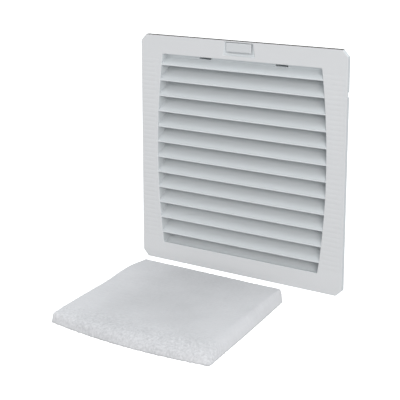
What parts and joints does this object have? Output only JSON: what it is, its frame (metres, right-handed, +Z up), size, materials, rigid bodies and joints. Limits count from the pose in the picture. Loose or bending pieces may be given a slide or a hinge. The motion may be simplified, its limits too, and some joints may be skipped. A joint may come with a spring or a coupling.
{
  "type": "cabinet filter fan",
  "caption": "Cabinet filter fan: square louvred cover hinged on a snap-in base frame, with release tab, filter tray, axial fan behind and a loose filter mat in front.",
  "frame": {"origin": "centre of the panel cut-out, on the gasket's face against the cabinet wall", "axes": "+X to the right seen from outside the cabinet, +Y into the cabinet, +Z up; the louvred face looks along -Y"},
  "size_m": [0.252, 0.3069, 0.252],
  "materials": {
    "cover_plastic": "fine spark texture, light grey",
    "latch_plastic": "fine spark texture, light grey",
    "spring_steel": "drawn wire",
    "base_plastic": "moulded, light grey",
    "gasket_foam": "closed-cell foam",
    "pin_steel": "ground",
    "clip_steel": "rolled spring strip",
    "grid_plastic": "moulded, light grey",
    "mat_fleece": "bonded fleece, white-grey",
    "fan_casting": "black coated casting",
    "bearing_steel": "ground",
    "core_steel": "stamped sheet pack",
    "winding_copper": "enamelled wire",
    "shaft_steel": "ground",
    "rotor_steel": "black coated",
    "cage_alloy": "cast",
    "impeller_paint": "black coated sheet",
    "guard_wire": "plated wire",
    "screw_steel": "zinc plated",
    "terminal_plastic": "moulded",
    "cap_plastic": "clear-grey caps"
  },
  "bodies": {
    "housing": {"base_frame": "base_plastic", "sealing_gasket": "gasket_foam", "hinge_pins": "pin_steel", "retaining_clips": "clip_steel", "filter_support_grid": "grid_plastic", "fan_housing": "fan_casting", "front_bearing": "bearing_steel", "rear_bearing": "bearing_steel", "stator_core": "core_steel", "stator_windings": "winding_copper", "finger_guard": "guard_wire", "fan_screws": "screw_steel", "terminal_block": "terminal_plastic", "terminal_screws": "screw_steel", "terminal_screw_caps": "cap_plastic"},
    "cover": {"grille_cover": "cover_plastic"},
    "latch": {"release_latch": "latch_plastic", "latch_springs": "spring_steel"},
    "rotor": {"motor_shaft": "shaft_steel", "rotor_cup": "rotor_steel", "rotor_cage": "cage_alloy", "impeller": "impeller_paint", "shaft_circlip": "clip_steel"},
    "mat": {"filter_mat": "mat_fleece"}
  },
  "joints": [
    {"name": "cover_hinge", "type": "hinge", "parent": "housing", "child": "cover", "pos_m": [0, -0.0057, -0.1226], "axis": [1, 0, 0], "range_deg": [0, 65]},
    {"name": "latch_slide", "type": "slide", "parent": "cover", "child": "latch", "axis": [0, 0, -1], "range_m": [0, 0.0025], "stiffness_N_per_m": 200, "springref_m": -0.003, "deforming": ["latch_springs"]},
    {"name": "impeller_spin", "type": "hinge", "parent": "housing", "child": "rotor", "pos_m": [0, 0.05, 0], "axis": [0, 1, 0], "continuous": true},
    {"name": "mat_lift", "type": "slide", "parent": "housing", "child": "mat", "axis": [0, 0, 1], "range_m": [0, 0.2]}
  ]
}
